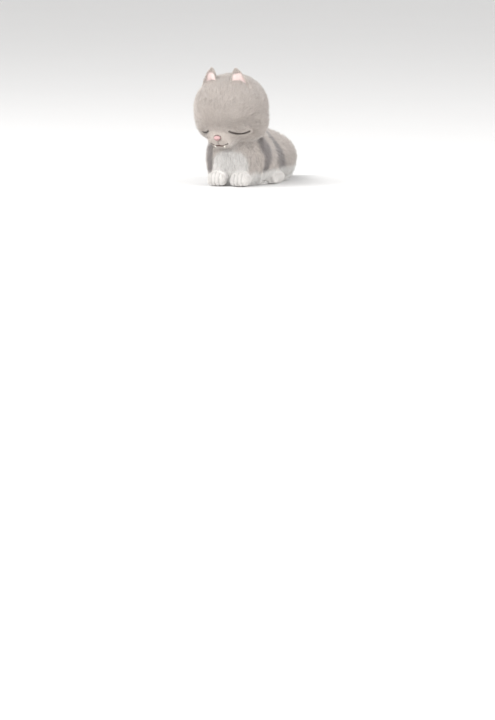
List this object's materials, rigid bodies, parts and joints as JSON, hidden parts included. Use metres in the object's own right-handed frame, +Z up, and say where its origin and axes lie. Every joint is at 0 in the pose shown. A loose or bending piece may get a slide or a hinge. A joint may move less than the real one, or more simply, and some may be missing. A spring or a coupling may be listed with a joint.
{
  "type": "domestic cat kitten",
  "caption": "Life-size still model of a grey and white banded kitten dozing in a crouch, head bowed and turned a little, eyes closed, tail curled round behind.",
  "frame": {"origin": "on the floor, at the middle of the trunk's flat underside", "axes": "+Z up, the kitten faces -Y, its left side is +X"},
  "size_m": [0.0909, 0.1718, 0.1205],
  "materials": {
    "grey_coat": "matte short plush fur",
    "white_coat": "matte short plush fur",
    "eyelid_coat": "matte very short fur with a dark bare lid rim",
    "nose_leather": "moist pebbled skin",
    "enamel": "glossy tooth enamel"
  },
  "bodies": {
    "root": {"head": "grey_coat", "jaw": "grey_coat", "neck": "grey_coat", "trunk": "grey_coat", "ear_left": "grey_coat", "foreleg_left": "grey_coat", "hindleg_left": "grey_coat", "forepaw_left": "white_coat", "hindpaw_left": "white_coat", "eye_left": "eyelid_coat", "canine_left": "enamel", "ear_right": "grey_coat", "foreleg_right": "grey_coat", "hindleg_right": "grey_coat", "forepaw_right": "white_coat", "hindpaw_right": "white_coat", "eye_right": "eyelid_coat", "canine_right": "enamel", "nose": "nose_leather", "tail_base": "grey_coat", "tail_middle": "grey_coat", "tail_tip": "grey_coat"}
  },
  "joints": []
}
